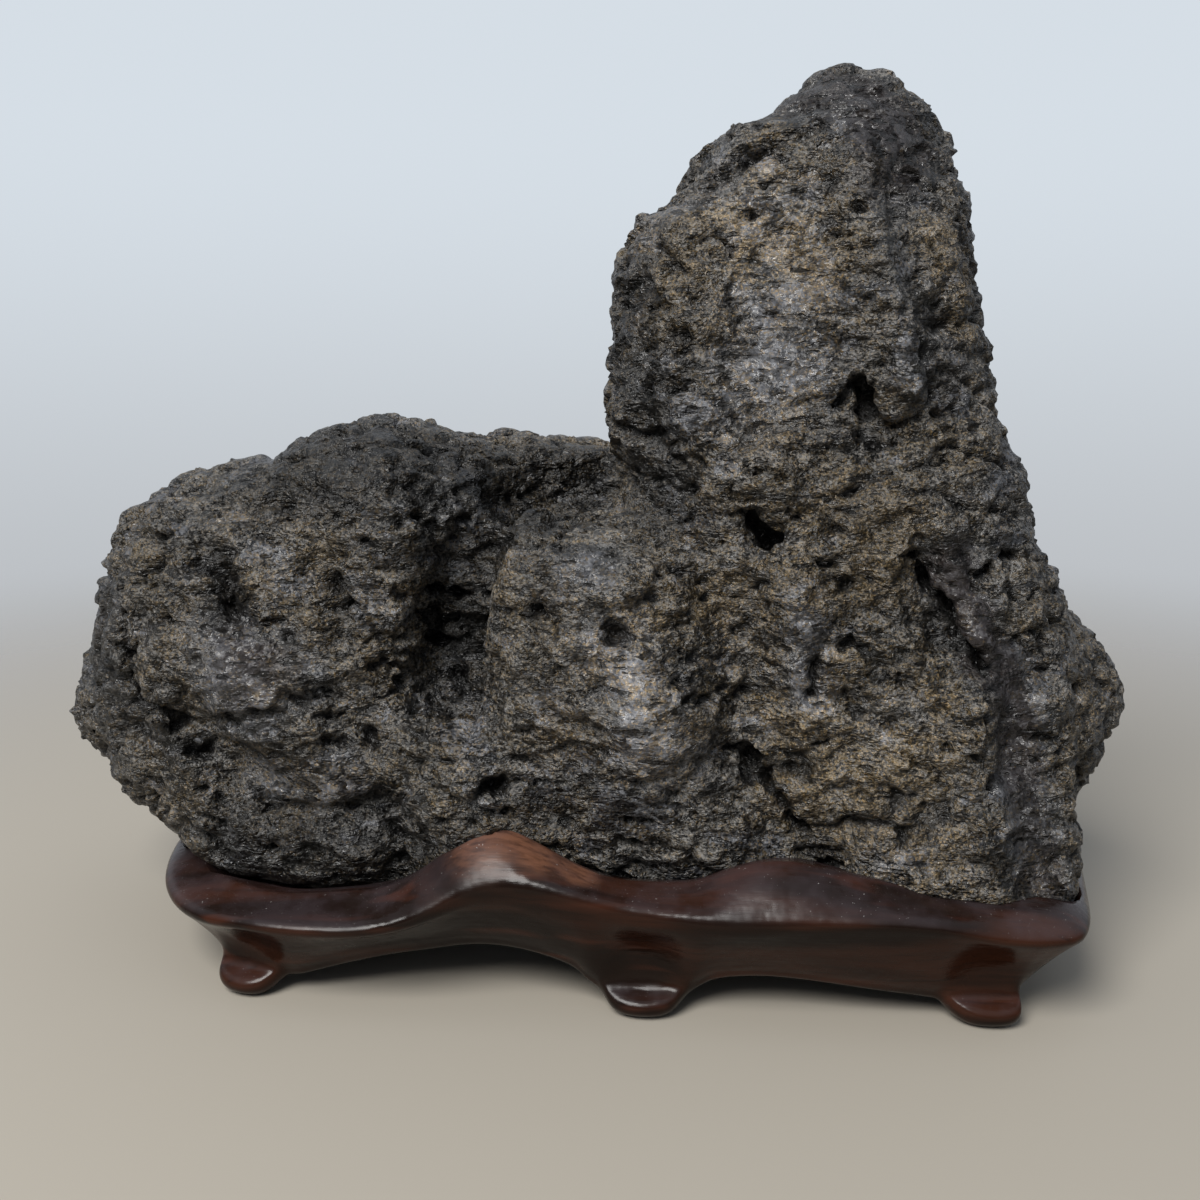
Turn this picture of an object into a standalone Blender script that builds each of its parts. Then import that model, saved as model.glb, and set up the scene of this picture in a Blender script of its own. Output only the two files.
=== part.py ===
"""A scholar's rock on its carved stand: a dark two-peaked stone resting in a fitted hardwood base.

Two pieces, as on a bench: the stone lifts straight out of the stand's carved seat.
X runs along the stand, Y from front to back, Z up from the surface that the feet stand on.
The tables below are in millimetres, and MM turns them into Blender's metres.
"""

import math

import bmesh
import bpy
from mathutils import Matrix, Vector, noise
from mathutils.bvhtree import BVHTree

MM = 0.001

# --- the stone: driving sizes, in millimetres ---
# Each lump is (name, centre, half sizes, squareness, turn about X, Y and Z in degrees).
# A squareness of 2 is a plain ball, and a higher one has flatter sides.
STONE_LUMPS = [
    ("boulder_core", (-70, -3, 65), (47, 40, 46), 2.3, (0, 0, 0)),
    ("boulder_crown", (-45, -2, 88), (32, 35, 34), 2.2, (0, 0, 0)),
    ("boulder_foot", (-56, -2, 36), (44, 41, 25), 2.5, (0, 0, 0)),
    ("boulder_bulge", (-68, -20, 58), (32, 22, 22), 2.0, (0, 0, 0)),
    ("boulder_ear", (-102, 6, 53), (23, 30, 23), 2.1, (0, 0, -8)),
    ("boulder_back", (-62, 16, 62), (36, 28, 36), 2.2, (0, 0, 0)),
    ("saddle_ridge", (-14, 22, 90.5), (44, 24, 25), 2.2, (0, 7, 0)),
    ("base_core", (3, -1, 40), (97, 42, 32), 2.8, (0, 0, 0)),
    ("lower_bridge", (-22, -22, 42), (24, 26, 27), 2.2, (0, 0, 0)),
    ("lobe_top", (-1, -18, 82), (24, 22, 20), 2.4, (0, 0, 0)),
    ("front_lobe", (12, -21, 60), (32, 27, 40), 2.4, (0, -12, 0)),
    ("tower_trunk", (58, -2, 86), (45, 37, 52), 2.5, (0, 0, 0)),
    ("tower_body", (51, 0, 126), (43, 32, 50), 2.9, (0, 0, 0)),
    ("tower_upper", (54, 2, 153), (36, 28, 37), 2.5, (0, 10, 0)),
    ("tower_summit", (63, 3, 174), (23, 22, 27), 2.2, (0, 0, 0)),
    ("tower_shoulder", (25, -2, 150), (16, 22, 20), 2.2, (0, 0, 0)),
    ("right_flank", (76, -4, 57), (40, 39, 45), 2.2, (0, 0, 0)),
    ("right_elbow", (99, 4, 54), (28, 32, 25), 2.1, (0, 0, 6)),
    ("right_toe", (84.5, -4, 29), (28, 42.5, 28), 3.4, (0, 0, 0)),
]
STONE_VOXEL = 2.0
STONE_BLEND_PASSES = 16
STONE_TRIANGLES = 5500
STONE_BED = 17.0
BEYOND_STONE = 1000.0
STONE_BED_FLATNESS = 0.1
STONE_SEED = 7.3

# Each brush is (name, side it works from, path across that side, radius, rise).
# A path on the front or the back is of (x, z) places, one on top of (x, y) and one on the right of (y, z).
# A negative rise cuts in, and a positive one swells out.
STONE_BRUSHES = [
    ("crevice", "front", [(-20, 92), (-25, 80), (-27, 68), (-21, 60)], 12, -10),
    ("undercut", "front", [(-80, 56), (-72, 43), (-57, 39), (-42, 39), (-34, 30)], 9, -5),
    ("ear_fold", "front", [(-96, 76), (-98, 60), (-92, 46)], 10, -4),
    ("boulder_cheek", "front", [(-58, 60), (-70, 66)], 16, 3),
    ("crown_fold", "front", [(-58, 102), (-52, 90), (-50, 80)], 9, -3),
    ("crown_front", "front", [(-36, 104), (-40, 94)], 13, 3),
    ("saddle_recess", "front", [(-17, 104), (-3, 103), (6, 106)], 11, -7),
    ("lobe_brow", "front", [(-10, 90), (2, 92), (14, 90)], 10, 3),
    ("lobe_swell", "front", [(16, 66), (20, 56)], 18, 4),
    ("panel_hollow", "front", [(46, 152), (50, 140)], 24, -4),
    ("tower_edge", "front", [(61, 187), (63, 164), (66, 147), (72, 131)], 10, 3.5),
    ("left_edge", "front", [(26, 160), (26, 140), (24, 122)], 10, 2.5),
    ("tower_cheek", "front", [(33, 121), (40, 112)], 14, 4),
    ("eye_pit", "front", [(64, 124), (67, 118)], 8, -5),
    ("deep_hole", "front", [(41, 98)], 8, -5),
    ("lobe_valley", "front", [(38, 86), (36, 66), (41, 48), (50, 30)], 12, -3.5),
    ("light_tongue", "front", [(48, 86), (51, 66)], 9, 3),
    ("cleft", "front", [(75, 92), (78, 80), (82, 71)], 8, -5),
    ("dark_band", "front", [(96, 74), (97, 52), (99, 30)], 12, -4),
    ("band_edge", "front", [(86, 66), (88, 46), (88, 32)], 9, 2.5),
    ("ear_foot", "front", [(-106, 38), (-97, 31)], 11, 1.3),
    ("left_tuck", "front", [(-90, 24), (-82, 18)], 10, -4),
    ("shoulder_notch", "front", [(24, 176), (30, 180)], 9, -4),
    ("right_notch", "front", [(97, 145), (97, 147)], 8, -3),
    ("back_valley", "back", [(8, 100), (0, 74), (6, 44)], 14, -7),
    ("back_fold", "back", [(70, 150), (62, 110), (70, 70), (64, 40)], 12, -5),
    ("back_shelf", "back", [(-88, 52), (-60, 46), (-34, 50)], 10, -5),
    ("back_swell", "back", [(36, 120), (38, 90)], 18, 5),
    ("back_boulder", "back", [(-52, 80), (-70, 70)], 18, 4),
    ("back_toe", "back", [(92, 50), (96, 34)], 12, 3),
    ("toe_tuck", "right", [(-36, 10), (0, 10), (30, 10)], 16, -6),
    ("top_dell", "top", [(-70, 6), (-54, 12)], 11, -3),
]
# Each wave of roughness is (scale, height) of a wandering swell over the whole stone.
STONE_WAVES = [(34, 2.6), (17, 2.2), (9, 1.2)]

# --- the stand: driving sizes, in millimetres ---
# The plan runs round the crest, the widest line of the stand. Each place is
# (x, y, crest height, rim height, arch height, how sharp the crest is, how far the wall leans in).
STAND_PLAN = [
    (-92, -32, 18, 22, 5.5, 0.8, 1.45),
    (-86, -42, 17.5, 21.5, 4.6, 0.9, 1.3),
    (-77, -50, 17.5, 21.5, 4.5, 1.0, 1.15),
    (-67, -54, 18, 21, 4, 1.0, 1.0),
    (-57, -56, 18, 21.5, 4, 1.0, 1.0),
    (-46, -56.5, 18, 22.5, 7, 1.0, 1.0),
    (-36, -56.5, 19, 24, 9.5, 0.9, 1.0),
    (-27, -56, 22, 29.5, 10.7, 0.6, 1.0),
    (-20, -55.5, 26, 35.5, 11.9, 0.3, 1.0),
    (-13, -55.5, 28, 37.6, 12.0, 0.1, 1.0),
    (-6, -56, 28, 35, 11.2, 0.0, 1.0),
    (2, -56.5, 26.5, 30.5, 9, 0.0, 1.0),
    (11, -56.5, 24.5, 27.4, 5, 0.1, 1.0),
    (20, -56.5, 23, 26.8, 5, 0.2, 1.0),
    (29, -57, 22.5, 27.6, 6.5, 0.3, 1.0),
    (38, -57, 22.5, 31.3, 8, 0.5, 1.0),
    (47, -57, 23, 32.6, 8, 0.7, 1.0),
    (57, -57, 23.5, 30.8, 7, 0.8, 1.0),
    (68, -56.5, 23.5, 28.6, 5.5, 0.9, 1.0),
    (79, -55.5, 22.5, 27, 4.5, 1.0, 1.0),
    (90, -54.3, 20.5, 26, 4, 1.0, 1.1),
    (100, -53.4, 20, 25.5, 5, 1.0, 1.3),
    (107, -49.5, 20, 26, 6, 1.0, 1.6),
    (110.8, -40, 20, 26.5, 8, 0.9, 1.7),
    (113.6, -28, 20, 26, 8, 0.9, 1.5),
    (116.2, -15, 20.5, 25, 9, 0.8, 1.3),
    (117.2, 0, 20.5, 25, 9, 0.8, 1.2),
    (116.2, 15, 20.5, 25, 8, 0.8, 1.3),
    (112.4, 30, 20, 25, 7, 0.9, 1.5),
    (103.5, 43, 20, 25, 5.5, 1.0, 1.3),
    (92, 50.5, 20, 26, 4.5, 1.0, 1.1),
    (78, 53.5, 21, 28, 4.5, 0.9, 1.0),
    (60, 55, 22.5, 31.5, 8, 0.6, 1.0),
    (42, 55.5, 23, 32, 9, 0.4, 1.0),
    (24, 55.5, 22.5, 28.5, 6, 0.5, 1.0),
    (8, 55, 22, 27, 5.5, 0.6, 1.0),
    (-8, 54.5, 22, 29, 9, 0.5, 1.0),
    (-26, 54, 22, 32, 11, 0.3, 1.0),
    (-44, 53.5, 20, 28, 8, 0.6, 1.0),
    (-60, 52.5, 18.5, 24, 4.5, 0.9, 1.0),
    (-75, 48, 18, 22.5, 4.5, 1.0, 1.1),
    (-88, 37, 18, 22, 6, 0.9, 1.4),
    (-96, 20, 18.5, 22.5, 8, 0.8, 1.7),
    (-98, 0, 18.5, 22.5, 8, 0.8, 1.8),
    (-96, -18, 18.5, 22.5, 7, 0.8, 1.7),
]
# Each foot is (x, side, half width of its toe): side -1 is the front and side 1 the back.
STAND_FEET = [
    (-69.6, -1, 8.5),
    (17.8, -1, 8.6),
    (90.6, -1, 8.8),
    (90.0, 1, 8.8),
    (16.0, 1, 8.6),
    (-69.0, 1, 8.5),
]
# The lower part of the stand's section as (outward, height) places, from under the board to the wall.
# Between feet the heights are above the arch, and at a foot they are above the ground.
WALL_SECTION = [
    (-13.0, 2.0),
    (-11.2, 0.3),
    (-9.6, 0.0),
    (-8.7, 0.3),
    (-8.2, 1.4),
    (-7.9, 2.0),
    (-7.5, 2.6),
    (-7.0, 3.4),
    (-6.3, 4.6),
]
FOOT_SECTION = [
    (-13.0, 0.6),
    (-11.5, 0.0),
    (-7.5, 0.0),
    (-4.6, 0.2),
    (-3.0, 1.6),
    (-3.1, 3.2),
    (-4.6, 4.0),
    (-8.2, 4.6),
    (-10.2, 7.2),
]
# Two more places up the wall, as (share of the way to the crest, outward between feet, outward above a foot).
WALL_RISE = [(0.35, -4.0, -8.0), (0.65, -2.1, -4.2)]
FOOT_ARCH = 4.0
SOLE_HEIGHT = 0.3
STAND_UNDERSIDE = 12.0
STAND_SPINE = (-52.0, 66.0)
STAND_STATIONS = 92
FOOT_DENSITY = 3.5
FOOT_REACH = 1.25
SEAT_GAP = 0.35

# --- the whole: how far it is moved so that its box is centred over the origin, in millimetres ---
CENTRING = (-1.6, 0.8)


def clear_scene():
    for obj in list(bpy.data.objects):
        bpy.data.objects.remove(obj)


def material(name, colour, roughness):
    """A plain Principled finish."""
    made = bpy.data.materials.new(name)
    made.use_nodes = True
    shader = made.node_tree.nodes["Principled BSDF"]
    shader.inputs["Base Color"].default_value = (*colour, 1.0)
    shader.inputs["Roughness"].default_value = roughness
    shader.inputs["Metallic"].default_value = 0.0
    return made


def new_object(name, mesh, finish):
    obj = bpy.data.objects.new(name, mesh)
    obj.data.materials.append(finish)
    bpy.context.scene.collection.objects.link(obj)
    return obj


def turned(degrees):
    """The rotation matrix for turns about X, Y and Z in degrees."""
    x, y, z = (math.radians(a) for a in degrees)
    return Matrix.Rotation(z, 4, "Z") @ Matrix.Rotation(y, 4, "Y") @ Matrix.Rotation(x, 4, "X")


def applied_mesh(obj):
    """A copy of the object's mesh with its modifiers applied."""
    bpy.context.view_layer.update()
    graph = bpy.context.evaluated_depsgraph_get()
    return bpy.data.meshes.new_from_object(obj.evaluated_get(graph))


def lumps_mesh(lumps):
    """All the lumps as overlapping balls in one mesh, each ball squared off by its own squareness."""
    bm = bmesh.new()
    for _, centre, half, squareness, turn in lumps:
        ball = bmesh.ops.create_icosphere(bm, subdivisions=4, radius=1.0)["verts"]
        for vert in ball:
            spread = sum(abs(c) ** squareness for c in vert.co) ** (-1 / squareness)
            vert.co *= spread
        size = Matrix.Diagonal((*(h * MM for h in half), 1.0))
        place = Matrix.Translation(Vector(centre) * MM) @ turned(turn) @ size
        bmesh.ops.transform(bm, matrix=place, verts=ball)
    mesh = bpy.data.meshes.new("lumps")
    bm.to_mesh(mesh)
    bm.free()
    return mesh


def nearest_on_path(point, path):
    """The distance from a point to a path of straight legs."""
    if len(path) == 1:
        return (point - path[0]).length
    best = math.inf
    for start, end in zip(path, path[1:]):
        leg = end - start
        along = max(0.0, min(1.0, (point - start).dot(leg) / leg.length_squared))
        best = min(best, (point - start - leg * along).length)
    return best


def falloff(t):
    """A soft brush: 1 in the middle, 0 at the edge."""
    return (1 - t * t) ** 2 if t < 1 else 0.0


def on_surface(tree, side, u, v):
    """The place on the stone's skin straight in from one side."""
    start, way = {
        "front": ((u, -BEYOND_STONE, v), (0, 1, 0)),
        "back": ((u, BEYOND_STONE, v), (0, -1, 0)),
        "right": ((BEYOND_STONE, u, v), (-1, 0, 0)),
        "top": ((u, v, BEYOND_STONE), (0, 0, -1)),
    }[side]
    start, way = Vector(start) * MM, Vector(way)
    hit = tree.ray_cast(start, way)[0]
    if hit is None:
        hit = tree.find_nearest(start + way * BEYOND_STONE * MM)[0]
    return hit


def sculpt(mesh):
    """Works the brushes and the waves into the stone, then presses its underside flat."""
    bm = bmesh.new()
    bm.from_mesh(mesh)
    tree = BVHTree.FromBMesh(bm)
    for _, side, path, radius, rise in STONE_BRUSHES:
        bm.normal_update()
        path = [on_surface(tree, side, u, v) for u, v in path]
        moves = []
        for vert in bm.verts:
            weight = falloff(nearest_on_path(vert.co, path) / (radius * MM))
            if weight > 0:
                moves.append((vert, vert.normal * weight * rise * MM))
        for vert, move in moves:
            vert.co += move
    bm.normal_update()
    seed = Vector((STONE_SEED, STONE_SEED, STONE_SEED))
    moves = []
    for vert in bm.verts:
        height = sum(noise.noise(vert.co / (scale * MM) + seed) * rise for scale, rise in STONE_WAVES)
        moves.append((vert, vert.normal * height * MM))
    for vert, move in moves:
        vert.co += move
    for vert in bm.verts:
        below = vert.co.z - STONE_BED * MM
        if below < 0:
            vert.co.z = STONE_BED * MM + below * STONE_BED_FLATNESS
    bm.to_mesh(mesh)
    bm.free()


def make_stone():
    finish = material("stone_black", (0.045, 0.042, 0.038), 0.6)
    obj = new_object("rock", lumps_mesh(STONE_LUMPS), finish)
    remesh = obj.modifiers.new("one_skin", "REMESH")
    remesh.mode = "VOXEL"
    remesh.voxel_size = STONE_VOXEL * MM
    smooth = obj.modifiers.new("blend", "SMOOTH")
    smooth.iterations = STONE_BLEND_PASSES
    smooth.factor = 0.5
    blended = applied_mesh(obj)
    obj.modifiers.clear()
    obj.data = blended
    sculpt(obj.data)
    decimate = obj.modifiers.new("fewer_faces", "DECIMATE")
    blended.calc_loop_triangles()
    decimate.ratio = STONE_TRIANGLES / len(blended.loop_triangles)
    obj.data = applied_mesh(obj)
    obj.modifiers.clear()
    obj.data.shade_smooth()
    return obj


def spline(points, index, t):
    """A smooth closed curve through the points: the value a fraction t past the point at index."""
    count = len(points)
    a, b, c, d = (points[(index + k) % count] for k in (-1, 0, 1, 2))
    value = []
    for p, q, r, s in zip(a, b, c, d):
        square, cube = 2 * p - 5 * q + 4 * r - s, 3 * q - p - 3 * r + s
        value.append(0.5 * (2 * q + (r - p) * t + square * t * t + cube * t**3))
    return value


def foot_offset(x, y):
    """How far along the stand the nearest foot on this side is, in half widths of its toe."""
    return min([abs(x - foot_x) / half for foot_x, side, half in STAND_FEET if y * side > 0] + [math.inf])


def ease(far, close, value):
    """0 at the far value, 1 at the close one, with a soft start and end."""
    t = max(0.0, min(1.0, (far - value) / (far - close)))
    return t * t * (3 - 2 * t)


def stations(count):
    """Places round the plan, closer together at the feet."""
    steps = 40
    fine = [spline(STAND_PLAN, i, k / steps) for i in range(len(STAND_PLAN)) for k in range(steps)]
    run = [0.0]
    for here, there in zip(fine, fine[1:] + fine[:1]):
        dense = FOOT_DENSITY if foot_offset(here[0], here[1]) < FOOT_REACH else 1.0
        run.append(run[-1] + math.hypot(there[0] - here[0], there[1] - here[1]) * dense)
    places = []
    at = 0
    for k in range(count):
        target = run[-1] * k / count
        while run[at + 1] <= target:
            at += 1
        t = (target - run[at]) / (run[at + 1] - run[at])
        here, there = fine[at], fine[(at + 1) % len(fine)]
        places.append([a + (b - a) * t for a, b in zip(here, there)])
    return places


def blend(a, b, t):
    return a + (b - a) * t


def stand_profile(crest, rim, arch, sharp, lean, offset):
    """The stand's section at one station, from under the middle to the top of it: (outward, height)."""
    foot = math.sqrt(max(0.0, 1 - offset * offset))
    neck = ease(1.0, 0.3, offset)
    arch = blend(arch, min(arch, FOOT_ARCH), ease(1.75, 0.95, offset))
    toe = foot**0.7
    flat = min(1.0, 1.15 * foot)
    below = []
    for (wall_out, wall_up), (foot_out, foot_up) in zip(WALL_SECTION, FOOT_SECTION):
        share = flat if foot_up < SOLE_HEIGHT else toe
        below.append((blend(wall_out, foot_out, foot), blend(arch + wall_up, foot_up, share)))
    wall_foot = below[-1][1]
    for share, wall_out, neck_out in WALL_RISE:
        below.append((blend(wall_out, neck_out, neck), blend(wall_foot, crest, share)))
    section = [(-34.0, STAND_UNDERSIDE), (-21.0, STAND_UNDERSIDE)]
    section += [(outward * blend(lean, 1.0, foot), height) for outward, height in below]
    section += [
        (blend(-1.6, -0.7, sharp), crest - blend(3.2, 1.6, sharp)),
        (blend(-0.5, 0.0, sharp), crest),
        (blend(-1.6, -1.5, sharp), crest + blend(2.6, 0.9, sharp)),
        (-5.4, blend(crest, rim, blend(0.78, 0.4, sharp))),
        (-9.2, rim - 0.7),
        (-11.0, rim),
        (-13.0, rim - 0.9),
        (-22.0, rim - 3.5),
        (-34.0, rim - 4.0),
    ]
    return section


def stand_mesh(count):
    """The stand before its seat is cut: a skin of closed rings, capped under the middle and on top."""
    rings = []
    bm = bmesh.new()
    for x, y, crest, rim, arch, sharp, lean in stations(count):
        hub = Vector((max(STAND_SPINE[0], min(STAND_SPINE[1], x)), 0.0))
        out = (Vector((x, y)) - hub).normalized()
        column = []
        for outward, height in stand_profile(crest, rim, arch, sharp, lean, foot_offset(x, y)):
            place = Vector((x, y)) + out * outward
            column.append(bm.verts.new(Vector((place.x, place.y, height)) * MM))
        rings.append(column)
    for here, there in zip(rings, rings[1:] + rings[:1]):
        for low, high in zip(range(len(here)), range(1, len(here))):
            bm.faces.new((here[low], there[low], there[high], here[high]))
    bm.faces.new([column[0] for column in reversed(rings)])
    bm.faces.new([column[-1] for column in rings])
    bmesh.ops.recalc_face_normals(bm, faces=bm.faces)
    bmesh.ops.triangulate(bm, faces=[f for f in bm.faces if len(f.verts) > 4])
    mesh = bpy.data.meshes.new("stand")
    bm.to_mesh(mesh)
    bm.free()
    return mesh


def make_stand(stone):
    finish = material("stand_rosewood", (0.05, 0.018, 0.012), 0.3)
    obj = new_object("stand", stand_mesh(STAND_STATIONS), finish)
    cutter = new_object("seat_cutter", stone.data.copy(), finish)
    cutter.hide_render = True
    cutter.display_type = "WIRE"
    swell = cutter.modifiers.new("seat_gap", "DISPLACE")
    swell.strength = SEAT_GAP * MM
    swell.mid_level = 0.0
    cut = obj.modifiers.new("seat", "BOOLEAN")
    cut.operation = "DIFFERENCE"
    cut.solver = "EXACT"
    cut.object = cutter
    obj.data.shade_smooth()
    return obj


def main():
    clear_scene()
    stone = make_stone()
    make_stand(stone)
    for obj in bpy.data.objects:
        obj.data.transform(Matrix.Translation((CENTRING[0] * MM, CENTRING[1] * MM, 0.0)))


main()
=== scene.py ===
# %% [markdown]
# # A scholar's rock on its carved stand
# A scholar's rock is a stone that is kept for its shape. This one is dark lava with two peaks, and it
# rests in a hardwood stand whose seat is carved to fit it. The model has two pieces, as the real thing
# has: the stone lifts straight out of its stand. We start from the plain solids of both, which give
# every outer size, and make a finely worked skin for each of them in the same place.
# %% Load the plain solids
import math

import bmesh
import bpy
import numpy as np
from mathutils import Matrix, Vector, kdtree, noise
from mathutils.bvhtree import BVHTree


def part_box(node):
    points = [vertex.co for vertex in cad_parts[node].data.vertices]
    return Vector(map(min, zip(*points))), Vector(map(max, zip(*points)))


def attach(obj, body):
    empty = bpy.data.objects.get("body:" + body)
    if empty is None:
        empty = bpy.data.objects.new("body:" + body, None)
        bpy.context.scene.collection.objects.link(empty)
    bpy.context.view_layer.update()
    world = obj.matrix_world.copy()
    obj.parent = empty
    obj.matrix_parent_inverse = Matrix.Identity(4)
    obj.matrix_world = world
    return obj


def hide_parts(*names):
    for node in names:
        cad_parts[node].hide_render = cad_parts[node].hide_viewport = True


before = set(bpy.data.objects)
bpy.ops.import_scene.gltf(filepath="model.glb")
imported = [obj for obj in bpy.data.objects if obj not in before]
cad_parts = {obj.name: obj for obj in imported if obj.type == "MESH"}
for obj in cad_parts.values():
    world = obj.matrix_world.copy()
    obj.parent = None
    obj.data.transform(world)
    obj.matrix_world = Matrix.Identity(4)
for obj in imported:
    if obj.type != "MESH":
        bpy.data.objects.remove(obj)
MM = 0.001
# Blender's noise vectors start from the clock unless they are given a seed. With one, every run makes
# the same stone.
NOISE_SEED = 456
noise.seed_set(NOISE_SEED)
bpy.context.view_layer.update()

# %% [markdown]
# ## Tools for shaping
# Blender's modifiers do the heavy work on a mesh. A modifier only takes hold once it is applied, so the
# first tool makes a new mesh from what an object looks like with its modifiers on. The others pass a
# mesh's points to and from an array, which is much quicker than moving thousands of points in turn.


# %% Tools for meshes
def applied(obj):
    """Gives the object the mesh that its modifiers make."""
    bpy.context.view_layer.update()
    graph = bpy.context.evaluated_depsgraph_get()
    mesh = bpy.data.meshes.new_from_object(obj.evaluated_get(graph))
    obj.modifiers.clear()
    obj.data = mesh
    return obj


def new_piece(name, mesh):
    obj = bpy.data.objects.new(name, mesh)
    bpy.context.scene.collection.objects.link(obj)
    return obj


def mesh_from(bm, name):
    mesh = bpy.data.meshes.new(name)
    bm.to_mesh(mesh)
    bm.free()
    return mesh


def round_off(obj, levels):
    """Adds a Subdivision Surface that is the same in the view and in a render."""
    rounded = obj.modifiers.new("rounded", "SUBSURF")
    rounded.levels = rounded.render_levels = levels


def get_points(mesh, field="vertices", part="co"):
    """The points of a mesh in metres, or its normals, as rows of three."""
    values = np.zeros(len(getattr(mesh, field)) * 3)
    getattr(mesh, field).foreach_get(part, values)
    return values.reshape(-1, 3)


def triangle_count(mesh):
    mesh.calc_loop_triangles()
    return len(mesh.loop_triangles)


print("mesh tools are ready, in Blender", bpy.app.version_string)

# %% [markdown]
# ## The stone: a smooth skin to carve
# The plain solid has flat triangles about 5 mm across. A real stone has no flat triangles, so they are
# merged into one skin, rounded by a Subdivision Surface, and turned into an even net of small squares
# by a voxel Remesh. A finer Subdivision Surface alone would leave the net stretched where the solid's
# triangles are long, and a carver of digital stone wants points to move in every place.

# %% Copy the plain stone and give it an even net
STONE_NET, STONE_PASSES = 0.98, 4
WELD = 0.02


def merged_copy(node, name):
    """A copy of a plain solid with its loose triangles merged into one skin."""
    bm = bmesh.new()
    bm.from_mesh(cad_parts[node].data)
    bmesh.ops.remove_doubles(bm, verts=bm.verts, dist=WELD * MM)
    mesh = mesh_from(bm, name)
    for extra in [a.name for a in mesh.attributes if not a.is_required and not a.is_internal]:
        mesh.attributes.remove(mesh.attributes[extra])
    return new_piece(name, mesh)


def even_net(obj, size, passes):
    """Rounds an object and gives it a net of squares of one size in millimetres."""
    round_off(obj, 1)
    net = obj.modifiers.new("even net", "REMESH")
    net.mode = "VOXEL"
    net.voxel_size = size * MM
    calm = obj.modifiers.new("calm", "SMOOTH")
    calm.iterations = passes
    return applied(obj)


stone = even_net(merged_copy("rock", "scholar_stone"), STONE_NET, STONE_PASSES)
print("stone net:", len(stone.data.vertices), "points")

# %% [markdown]
# ## The stone: marks that have their own place
# Some marks make this stone this stone: deep holes, a long cleft, plates with an edge, and shelves with
# a shadow under them. Each one is a stroke, which is a path over the front as (x, z) places in
# millimetres, with a radius and a rise. A stroke raises or lowers the skin along its normal, and its
# profile across the stroke makes it a soft swelling, a pit with steep walls, a flat plate or a ledge.

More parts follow.
